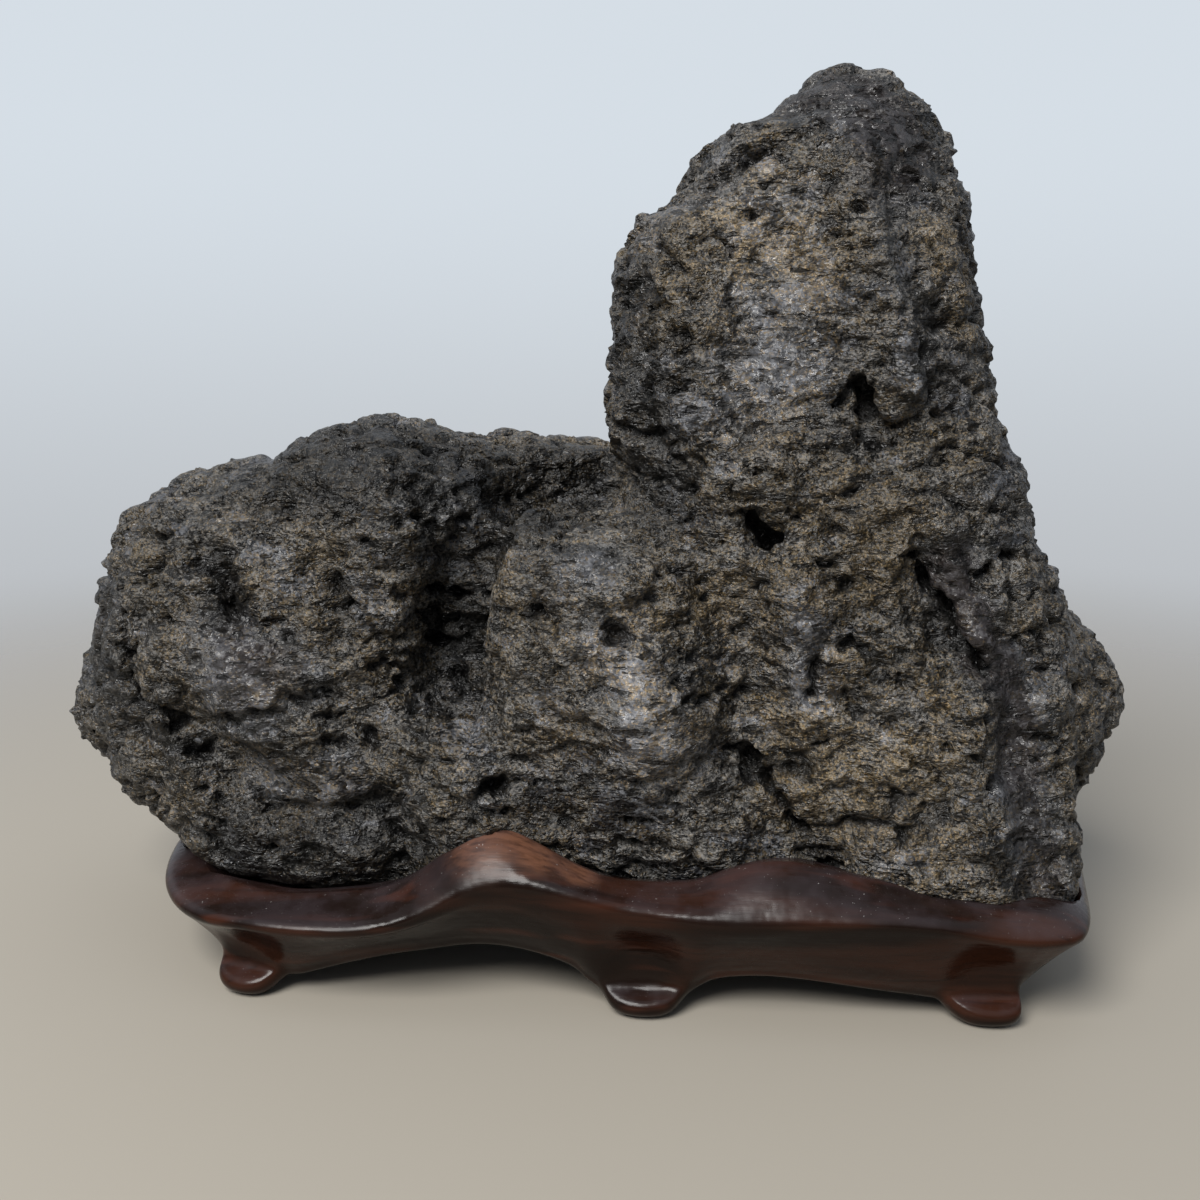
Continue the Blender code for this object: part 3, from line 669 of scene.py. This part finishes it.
def section(crest, rim, arch, sharp, lean, offset):
    """The section as (out, height) pairs, from under the board to its top."""
    foot = math.sqrt(max(0.0, 1 - offset * offset))
    scoop = smoothstep(1.5, 0.2, offset)
    arch = mix(arch, min(arch, TOE_ARCH), smoothstep(1.75, 0.95, offset))
    sole, toe = min(1.0, 1.15 * foot), foot**0.7
    places = [(-34.0, UNDERSIDE), (-21.0, UNDERSIDE)]
    for (wall_out, wall_up), (toe_out, toe_up) in zip(WALL_PART, TOE_PART):
        height = mix(arch + wall_up, toe_up, sole if toe_up < 0.3 else toe)
        places.append((mix(wall_out, toe_out, foot) * mix(lean, 1.0, foot), height))
    wall_foot = places[-1][1]
    for share, wall_out, scooped_out in WALL_RISE:
        out = mix(wall_out, scooped_out, scoop) * mix(lean, 1.0, foot)
        places.append((out, mix(wall_foot, crest, share)))
    return places + [
        (mix(-1.6, -0.9, sharp), crest - mix(3.2, 1.5, sharp)),
        (mix(-0.5, 0.0, sharp), crest - mix(0.0, 0.2, sharp)),
        (mix(-1.4, -1.1, sharp), crest + mix(2.4, 1.4, sharp)),
        (-5.4, mix(crest, rim, mix(0.78, 0.62, sharp))),
        (-9.2, rim - mix(0.7, 1.0, sharp)),
        (-11.0, rim),
        (-13.0, rim - 0.9),
        (-22.0, rim - 3.5),
        (-34.0, rim - 4.0),
    ]


def ring_places(level):
    """Where the ring at one level of the section lies."""
    places = []
    for x, y, crest, rim, arch, sharp, lean in plan:
        hub = Vector((max(SPINE[0], min(SPINE[1], x)), 0.0))
        outward = (Vector((x, y)) - hub).normalized()
        out, height = section(crest, rim, arch, sharp, lean, toe_offset(x, y))[level]
        flat = Vector((x, y)) + outward * out
        places.append((Vector((flat.x, flat.y, height)) + STAND_SHIFT) * MM)
    return places


def pulled_ring(bm, ring):
    """A new ring, pulled out of this one and joined to it by faces."""
    edges = [bm.edges.get(pair) for pair in zip(ring, ring[1:] + ring[:1])]
    made = bmesh.ops.extrude_edge_only(bm, edges=edges)["geom"]
    fresh = {v for v in made if isinstance(v, bmesh.types.BMVert)}
    return [next(e.other_vert(v) for e in v.link_edges if e.other_vert(v) in fresh) for v in ring]


levels = len(section(20, 24, 8, 1, 1, 0))
print("places in a section:", levels)

# %% [markdown]
# ## The stand: its rings
# Each place of the section makes one closed ring round the board. The first ring is a circle whose
# points are put in place, and each next one is extruded from the last and put in place in turn, so the
# operator makes all the faces. A Subdivision Surface then rounds the whole.

# %% Lay the rings
bm = bmesh.new()
ring = bmesh.ops.create_circle(bm, segments=STAND_STATIONS, radius=0.1)["verts"]
for level in range(levels):
    if level > 0:
        ring = pulled_ring(bm, ring)
    for vert, place in zip(ring, ring_places(level)):
        vert.co = place
bmesh.ops.recalc_face_normals(bm, faces=bm.faces)
stand = new_piece("carved_stand", mesh_from(bm, "stand"))
round_off(stand, 2)
applied(stand)
print("stand rings:", levels, "points:", len(stand.data.vertices))

# %% [markdown]
# ## The stand: its seat
# The rings are still open under the board and on top. Both holes are filled, and then the seat is cut
# with a copy of the smooth stone that is swollen by a hair, as a carver leaves a little air round a
# stone. A Boolean does this cut, and it needs two closed bodies whose faces point outwards.

# %% Close the board and cut the seat
SEAT_AIR = 0.9

bm = bmesh.new()
bm.from_mesh(stand.data)
filled = bmesh.ops.holes_fill(bm, edges=[e for e in bm.edges if e.is_boundary])["faces"]
bmesh.ops.triangulate(bm, faces=filled)
bmesh.ops.recalc_face_normals(bm, faces=bm.faces)
bm.to_mesh(stand.data)
bm.free()

cutter = merged_copy("rock", "seat_cutter")
round_off(cutter, 1)
swell = cutter.modifiers.new("air", "DISPLACE")
swell.strength = SEAT_AIR * MM
swell.mid_level = 0.0
applied(cutter)
cut = stand.modifiers.new("seat", "BOOLEAN")
cut.operation = "DIFFERENCE"
cut.solver = "EXACT"
cut.object = cutter
applied(stand)
bpy.data.objects.remove(cutter)
stand.data.shade_smooth()
print("stand:", triangle_count(stand.data), "triangles")
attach(stand, "root")
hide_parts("stand")


# %% [markdown]
# ## Tools for finishes
# A finish is a tree of nodes: patterns feed colours, and colours, roughness and fine bumps feed one
# shader. It can be joined up by hand in the Shader Editor. In a script, a small tool for each kind of
# node keeps a step to one line.


# %% Tools for node trees
def new_finish(name):
    finish = bpy.data.materials.new(name)
    finish.use_nodes = True
    tree = finish.node_tree
    shader = tree.nodes["Principled BSDF"]
    return finish, tree, shader


def add(tree, kind, inputs, **settings):
    """A new node: each input is given a value, or joined to another node's output."""
    made = tree.nodes.new("ShaderNode" + kind)
    for name, value in settings.items():
        setattr(made, name, value)
    for name, value in inputs.items():
        if isinstance(value, bpy.types.NodeSocket):
            tree.links.new(value, made.inputs[name])
        else:
            made.inputs[name].default_value = value
    return made


def number(tree, operation, a, b):
    return add(tree, "Math", {0: a, 1: b}, operation=operation).outputs[0]


def of_vectors(tree, operation, inputs, output=0):
    return add(tree, "VectorMath", inputs, operation=operation).outputs[output]


def between(tree, value, low, high, to_low=0.0, to_high=1.0):
    """A value spread from one range onto another, with a soft start and end."""
    inputs = {"Value": value, "From Min": low, "From Max": high, "To Min": to_low, "To Max": to_high}
    return add(tree, "MapRange", inputs, interpolation_type="SMOOTHSTEP").outputs[0]


def blend(tree, share, a, b):
    """One colour passing into another."""
    return add(tree, "Mix", {0: share, 6: a, 7: b}, data_type="RGBA").outputs[2]


def layer(tree, base, mask, share, colour):
    """A colour laid over another one where a mask is white, at most with this share."""
    return blend(tree, number(tree, "MULTIPLY", mask, share), base, colour)


def grainy(tree, place, size, detail, roughness):
    """Noise whose patches are about this many millimetres across."""
    inputs = {"Vector": place, "Scale": 1 / (size * MM), "Detail": detail, "Roughness": roughness}
    return add(tree, "TexNoise", inputs).outputs["Fac"]


def painted(tree, name):
    """The numbers that were kept on the mesh under this name."""
    return add(tree, "Attribute", {}, attribute_name=name).outputs["Fac"]


def placed(tree, scale=(1, 1, 1), turn=(0, 0, 0)):
    """The place on the object, stretched or turned so that a pattern runs its way."""
    place = add(tree, "TexCoord", {}).outputs["Object"]
    turn = tuple(math.radians(a) for a in turn)
    return add(tree, "Mapping", {"Vector": place, "Scale": scale, "Rotation": turn}).outputs[0]


def dress(obj, finish):
    """Gives an object one finish and no other."""
    obj.data.materials.clear()
    obj.data.materials.append(finish)


print("node tools are ready")

# %% [markdown]
# ## The finish of the stone: its patterns
# The rock is nearly black. Its broken parts are a mass of tiny dark and grey grains with yellow-brown
# dust between them, its worn places are blue-grey and a little shiny, a blue-grey that is partly a
# painted sheen, and its pits are painted dark as shade. Noise alone would look like cloth, because
# broken rock has hard edges. So soft noise is joined by flat crystals, chips and slabs, each with its
# own tone and tilt, and by slits, the gaps between them.

# %% Lava finish: the patterns
lava, tree, shader = new_finish("dusty_lava")
flow = placed(tree, (0.65, 0.65, 1.0))
plain = placed(tree)
plate, relief, shade, dust, calm = (painted(tree, name) for name in STONE_MARKS)

# Each noise is (size in millimetres, detail, roughness).
BROAD, LUMP, FINE = (11.0, 3.0, 0.6), (3.2, 3.0, 0.6), (0.7, 2.0, 0.7)
SPECK, SOOT, SLIT = (0.42, 2.0, 0.7), (0.75, 2.0, 0.75), (2.6, 2.0, 0.6)
CRYSTAL, CHIP, SLAB = 0.50, 2.2, 4.6

broad, lump, fine = (grainy(tree, flow, *pattern) for pattern in (BROAD, LUMP, FINE))
speck = grainy(tree, plain, *SPECK)
soot = grainy(tree, placed(tree, (0.8, 0.8, 1.2), (20, 0, 30)), *SOOT)
slit = grainy(tree, placed(tree, (0.45, 0.45, 1.5), (0, 5, 0)), *SLIT)
slit = between(tree, slit, 0.41, 0.35)


def bent_place(size, reach):
    """The place, pushed about by noise, so that no face of rock has a straight edge."""
    inputs = {"Vector": plain, "Scale": 1 / (size * MM), "Detail": 1.0}
    push = add(tree, "TexNoise", inputs).outputs["Color"]
    push = of_vectors(tree, "SCALE", {0: push, "Scale": reach * MM})
    return of_vectors(tree, "ADD", {0: push, 1: flow})


def faces(place, size):
    """Flat broken faces of one size, each with its own tone, its own kind and its own tilt."""
    found = add(tree, "TexVoronoi", {"Vector": place, "Scale": 1 / (size * MM)}).outputs
    tone, kind, _ = add(tree, "SeparateColor", {"Color": found["Color"]}).outputs
    offset = of_vectors(tree, "SUBTRACT", {0: place, 1: found["Position"]})
    tilt = of_vectors(tree, "SUBTRACT", {0: found["Color"], 1: (0.5, 0.5, 0.5)})
    lean = of_vectors(tree, "DOT_PRODUCT", {0: offset, 1: tilt}, "Value")
    return tone, kind, number(tree, "MULTIPLY", lean, 1 / MM)


def sum_of(*terms):
    """A weighted sum of patterns: (pattern, weight) pairs."""
    total = 0.0
    for pattern, weight in terms:
        total = number(tree, "ADD", total, number(tree, "MULTIPLY", pattern, weight))
    return total


crystal_tone, crystal_kind, _ = faces(plain, CRYSTAL)
chip_tone, chip_kind, chip_lean = faces(bent_place(2.0, 2.0), CHIP)
slab_tone, slab_kind, slab_lean = faces(bent_place(3.5, 4.0), SLAB)
print("lava patterns:", len(tree.nodes), "nodes")

# %% [markdown]
# ## The finish of the stone: its colours
# The colours go over each other as layers of paint do, each by its own mask and at most with its
# share: broken grey rock, worn places with a painted blue-grey sheen, the quiet skin of calm zones,
# settled dust, black soot, slits, painted shade in the pits, and a few pale grains. A Color Ramp could
# hold such steps, but blended pairs keep each colour apart and named. Last, the zones lighten or
# darken the whole with the stone's tones and with painted light and shade, and raised places are
# lightened, partly as wear and partly as a painted highlight.

# %% Lava finish: the colours
BLACK, GREY = (0.0030, 0.0028, 0.0026, 1), (0.108, 0.103, 0.096, 1)
WORN_SHEEN_DARK, WORN_SHEEN_LIGHT = (0.018, 0.019, 0.022, 1), (0.090, 0.096, 0.112, 1)
OLIVE, OCHRE = (0.082, 0.059, 0.027, 1), (0.225, 0.145, 0.057, 1)
PALE_GRAIN = (0.34, 0.31, 0.27, 1)
QUIET_DARK, QUIET_LIGHT = (0.022, 0.022, 0.023, 1), (0.056, 0.057, 0.062, 1)
DENSE = (0.026, 0.019, 0.018, 1)
WORN_SHARE, QUIET_SHARE, DUST_SHARE = 0.75, 0.80, 0.66
SOOT_SHARE, SLIT_SHARE, GLINT_SHARE, PIT_SHADE_SHARE = 0.75, 0.85, 0.8, 0.9

tone = sum_of((lump, 0.32), (fine, 0.34), (chip_tone, 0.16), (crystal_tone, 0.28))
base = blend(tree, between(tree, tone, 0.40, 0.72), BLACK, GREY)

ragged = sum_of(
    (broad, 0.6), (lump, 0.7), (plate, 0.16), (chip_kind, 0.10), (slab_kind, 0.12), (dust, -0.05)
)
# Worn places are blue-grey: partly the worn stone's own tone, partly a painted sheen of the sky.
worn = number(tree, "MULTIPLY", between(tree, ragged, 0.84, 0.94), WORN_SHARE)
worn_sheen_colour = blend(tree, between(tree, tone, 0.42, 0.76), WORN_SHEEN_DARK, WORN_SHEEN_LIGHT)
base = blend(tree, worn, base, worn_sheen_colour)

quiet = blend(tree, between(tree, lump, 0.36, 0.64), QUIET_DARK, QUIET_LIGHT)
quiet = blend(tree, between(tree, dust, -0.4, -0.9), quiet, DENSE)
base = layer(tree, base, calm, QUIET_SHARE, quiet)

settled = sum_of((broad, -0.4), (fine, 0.50), (lump, 0.35), (crystal_kind, 0.26), (dust, 0.13))
dusty = between(tree, settled, 0.28, 0.56)
dust_colour = blend(tree, between(tree, speck, 0.50, 0.66), OLIVE, OCHRE)
base = layer(tree, base, dusty, DUST_SHARE, dust_colour)

rough_share = number(tree, "SUBTRACT", 1.0, worn)
sooty = number(tree, "MULTIPLY", between(tree, soot, 0.50, 0.42), rough_share)
base = layer(tree, base, sooty, SOOT_SHARE, BLACK)
base = layer(tree, base, slit, SLIT_SHARE, BLACK)
glint = number(tree, "MULTIPLY", between(tree, speck, 0.68, 0.76), between(tree, fine, 0.45, 0.6))
base = layer(tree, base, glint, GLINT_SHARE, PALE_GRAIN)

# Pits are darkened by their depth: painted shade in the hollows.
pit_shade = between(tree, relief, -0.4, -2.4)
base = layer(tree, base, pit_shade, PIT_SHADE_SHARE, BLACK)
# The zones' tones, with their painted light and shade, double or halve the colour.
doubled = number(tree, "POWER", 2.0, shade)
# Raised places are lightened by up to a quarter, partly as wear and partly as a painted highlight.
rubbed = between(tree, relief, 0.1, 0.9, 1.0, 1.25)
strength = number(tree, "MULTIPLY", doubled, rubbed)
base = of_vectors(tree, "SCALE", {0: base, "Scale": strength})
tree.links.new(base, shader.inputs["Base Color"])
print("lava colours: now", len(tree.nodes), "nodes")

# %% [markdown]
# ## The finish of the stone: its shine and fine bumps
# Fresh crystals glitter, so each has its own roughness. Relief under half a millimetre would need
# millions of triangles, so it is a bump: soft noise, weaker where the stone is worn or calm, and the
# tilted chips and slabs, which catch the light one by one.

# %% Lava finish: the shine and the fine bumps
STONE_IOR, BUMP_DEPTH = 1.46, 1.0

rough = between(tree, crystal_tone, 0.0, 1.0, 0.30, 0.62)
rough = number(tree, "ADD", rough, number(tree, "MULTIPLY", worn, -0.06))
tree.links.new(rough, shader.inputs["Roughness"])
shader.inputs["IOR"].default_value = STONE_IOR

soft = sum_of((lump, 1.6), (fine, 0.9))
soft = number(tree, "MULTIPLY", soft, between(tree, worn, 0.0, WORN_SHARE, 1.0, 0.55))
soft = number(tree, "MULTIPLY", soft, between(tree, calm, 0.0, 1.0, 1.0, 0.5))
hard = sum_of((chip_lean, 1.1), (chip_tone, 0.35), (slab_lean, 0.9), (slab_tone, 0.5), (slit, -0.6))
height = number(tree, "ADD", soft, hard)
bump = add(tree, "Bump", {"Height": height, "Distance": BUMP_DEPTH * MM, "Strength": 1.0})
tree.links.new(bump.outputs[0], shader.inputs["Normal"])
dress(stone, lava)
print("lava finish:", len(tree.nodes), "nodes")

# %% [markdown]
# ## The finish of the stand
# The board is a dense red-brown hardwood, oiled and polished nearly black. Its fibres run along its
# length. A Wave texture could draw its rings, but on a carved form noise that is stretched along the
# grain looks more natural. Hands have worn the crest back to bare brown wood. What faces up gets a
# purple-grey layer, partly a thin film of dust with a little lint and partly a painted sheen, the
# reflection of a bright sky. So each point keeps how far it is worn and how far it faces up.

# %% Polished hardwood: the colours
wood, tree, shader = new_finish("polished_hardwood")
along = placed(tree, (0.07, 1.0, 1.0), (0, 0, 1.5))
plain = placed(tree)
fibre = grainy(tree, along, 1.3, 4.0, 0.6)
figure = grainy(tree, placed(tree, (0.16, 1.0, 1.0)), 9.0, 3.0, 0.5)
streak = grainy(tree, placed(tree, (0.10, 1.0, 1.0), (0, 3, 0)), 5.0, 2.0, 0.5)
lint = grainy(tree, plain, 0.5, 2.0, 0.6)
smudge = grainy(tree, plain, 12.0, 3.0, 0.6)
worn = painted(tree, "worn")

WOOD_DARK, WOOD_RED = (0.0065, 0.0030, 0.0018, 1), (0.028, 0.0095, 0.0048, 1)
WOOD_BARE, WOOD_GLOW = (0.115, 0.050, 0.028, 1), (0.046, 0.014, 0.007, 1)
WOOD_DUST_AND_SHEEN, WOOD_LINT = (0.052, 0.041, 0.047, 1), (0.35, 0.34, 0.33, 1)
GLOW_SHARE, DUST_AND_SHEEN_SHARE, LINT_SHARE = 0.6, 0.28, 0.7
base = blend(tree, between(tree, figure, 0.40, 0.68), WOOD_DARK, WOOD_RED)
base = blend(tree, between(tree, fibre, 0.50, 0.70, 0.0, 0.5), base, WOOD_DARK)
base = layer(tree, base, between(tree, streak, 0.55, 0.72), GLOW_SHARE, WOOD_GLOW)
rubbed = number(tree, "MULTIPLY", worn, between(tree, fibre, 0.70, 0.35, 0.3, 1.0))
base = blend(tree, rubbed, base, WOOD_BARE)
# What faces up gets a purple-grey layer: partly a film of dust, partly a painted sheen.
dust_and_sheen = number(tree, "MULTIPLY", painted(tree, "dust_and_sheen"), between(tree, smudge, 0.35, 0.62, 0.15, 1.0))
base = layer(tree, base, dust_and_sheen, DUST_AND_SHEEN_SHARE, WOOD_DUST_AND_SHEEN)
lint = number(tree, "MULTIPLY", between(tree, lint, 0.70, 0.76), dust_and_sheen)
base = layer(tree, base, lint, LINT_SHARE, WOOD_LINT)
tree.links.new(base, shader.inputs["Base Color"])
print("hardwood colours:", len(tree.nodes), "nodes")

# %% Polished hardwood: the gloss and the grain
WOOD_IOR, WOOD_SPECULAR, GRAIN_DEPTH = 1.36, 0.3, 0.12

gloss = between(tree, smudge, 0.35, 0.70, 0.16, 0.34)
gloss = number(tree, "ADD", gloss, number(tree, "MULTIPLY", worn, 0.16))
tree.links.new(gloss, shader.inputs["Roughness"])
shader.inputs["IOR"].default_value = WOOD_IOR
shader.inputs["Specular IOR Level"].default_value = WOOD_SPECULAR
grain_height = sum_of((fibre, -1.0), (smudge, 6.0))
bump = add(tree, "Bump", {"Height": grain_height, "Distance": GRAIN_DEPTH * MM, "Strength": 0.6})
tree.links.new(bump.outputs[0], shader.inputs["Normal"])
print("hardwood finish:", len(tree.nodes), "nodes")

# %% Polished hardwood: where it is worn, and where it faces up
# Each worn place is (its middle, how far it reaches), in millimetres.
WORN_PLACES = [((-16, -45, 37), 13), ((-6, -46, 35), 10), ((2, -47, 30), 7)]

points = get_points(stand.data) / MM
rubbed = np.zeros(len(points))
for place, reach in WORN_PLACES:
    away = np.linalg.norm(points - np.array(place), axis=1)
    rubbed = np.maximum(rubbed, 1 - smoothstep(reach * 0.4, reach, away))
paint(stand.data, "worn", rubbed)
# How far each point faces up: where the dust and the painted sheen lie.
upward = get_points(stand.data, "vertex_normals", "vector")[:, 2]
paint(stand.data, "dust_and_sheen", smoothstep(0.35, 0.9, upward))
dress(stand, wood)
print("worn points:", int((rubbed > 0.5).sum()), "points that face up:", int((upward > 0.9).sum()))

# %% [markdown]
# ## The floor
# The floor is pale and plain. In a studio a sheet of paper sweeps up behind the object, so that no
# edge is seen. Here the floor fades into the backdrop instead, which works from every side.

# %% Floor
FLOOR_COLOUR, FLOOR_ROUGHNESS = (0.275, 0.250, 0.210, 1), 0.7
FLOOR_SIZE, FLOOR_FULL, FLOOR_GONE = 4.0, 0.14, 0.62

bm = bmesh.new()
bmesh.ops.create_grid(bm, x_segments=1, y_segments=1, size=FLOOR_SIZE)
floor = new_piece("studio_floor", mesh_from(bm, "studio_floor"))
floor_finish, tree, shader = new_finish("pale_floor")
shader.inputs["Base Color"].default_value = FLOOR_COLOUR
shader.inputs["Roughness"].default_value = FLOOR_ROUGHNESS
away = of_vectors(tree, "LENGTH", {0: placed(tree)}, "Value")
fade = between(tree, away, FLOOR_FULL, FLOOR_GONE)
clear = add(tree, "BsdfTransparent", {}).outputs[0]
faded = add(tree, "MixShader", {0: fade, 1: shader.outputs[0], 2: clear})
tree.links.new(faded.outputs[0], tree.nodes["Material Output"].inputs["Surface"])
dress(floor, floor_finish)
print("floor: full to", FLOOR_FULL, "m and gone at", FLOOR_GONE, "m")

# %% [markdown]
# ## The light
# Dark stone shows its form in soft light from one side. One wide lamp stands in front, high on the
# left, and the sky stands in for the studio's walls: light above and at the back, dim in front, dark
# below. Such a sky makes an ugly backdrop, so what the camera sees of it has pale even colours of its
# own. The Light Path node tells the two apart.

# %% Sky
sky = bpy.data.worlds.new("studio_sky")
sky.use_nodes = True
tree = sky.node_tree
backdrop = tree.nodes["Background"]
way = add(tree, "TexCoord", {}).outputs["Generated"]
way = add(tree, "SeparateXYZ", {"Vector": way}).outputs
back, up = way["Y"], way["Z"]
LOW_SKY, MIDDLE_SKY, HIGH_SKY = (0.475, 0.49, 0.51, 1), (0.67, 0.73, 0.79, 1), (0.56, 0.59, 0.63, 1)
low_part = blend(tree, between(tree, up, -0.28, 0.18), LOW_SKY, MIDDLE_SKY)
backdrop_colour = blend(tree, between(tree, up, 0.3, 0.8), low_part, HIGH_SKY)
LIGHT_LOW, LIGHT_FRONT = (0.08, 0.08, 0.08, 1), (0.17, 0.185, 0.205, 1)
LIGHT_BACK, LIGHT_HIGH = (0.60, 0.64, 0.70, 1), (0.66, 0.71, 0.78, 1)
level = blend(tree, between(tree, back, 0.0, 0.8), LIGHT_FRONT, LIGHT_BACK)
low_light = blend(tree, between(tree, up, -0.30, 0.10), LIGHT_LOW, level)
room_light = blend(tree, between(tree, up, 0.15, 0.85), low_light, LIGHT_HIGH)
looked_at = add(tree, "LightPath", {}).outputs["Is Camera Ray"]
tree.links.new(blend(tree, looked_at, room_light, backdrop_colour), backdrop.inputs["Color"])
bpy.context.scene.world = sky
print("sky:", len(tree.nodes), "nodes")

# %% Lamp
LAMP_PLACE, LAMP_AIM = Vector((-0.35, -0.80, 0.95)), Vector((0, 0, 0.08))

lamp_data = bpy.data.lights.new("lamp_front", "AREA")
lamp_data.shape = "DISK"
lamp_data.size = 0.7
lamp_data.energy = 25.0
lamp_data.color = (1.0, 0.985, 0.96)
lamp = new_piece("lamp_front", lamp_data)
lamp.location = LAMP_PLACE
lamp.rotation_euler = (LAMP_AIM - LAMP_PLACE).to_track_quat("-Z", "Y").to_euler()
print("lamp:", round((LAMP_AIM - LAMP_PLACE).length, 2), "m from the stone,", lamp_data.energy, "W")

# %% [markdown]
# ## The camera
# The camera stands close and looks slightly down. What is near looks large to a close camera, so its
# distance matters as much as its lens. The shift moves its frame down, as on a view camera, because a
# steeper look down would make the tower lean.

# %% Camera
EYE = Vector((26.78, -296.28, 136.0)) * MM
LOOK_DOWN, LOOK_LEFT = 5.5, 4.5
FRAME_SHIFT = -0.1038

camera_data = bpy.data.cameras.new("camera")
camera_data.sensor_width = 36.0
camera_data.lens = 37.5
camera_data.shift_y = FRAME_SHIFT
camera_data.clip_start = 0.01
camera_data.clip_end = 20.0
camera = new_piece("camera", camera_data)
camera.location = EYE
camera.rotation_euler = (math.radians(90 - LOOK_DOWN), 0.0, math.radians(LOOK_LEFT))
bpy.context.scene.camera = camera
bpy.context.scene.view_settings.view_transform = "Standard"
print("camera:", round(EYE.length, 3), "m from the middle of the floor")
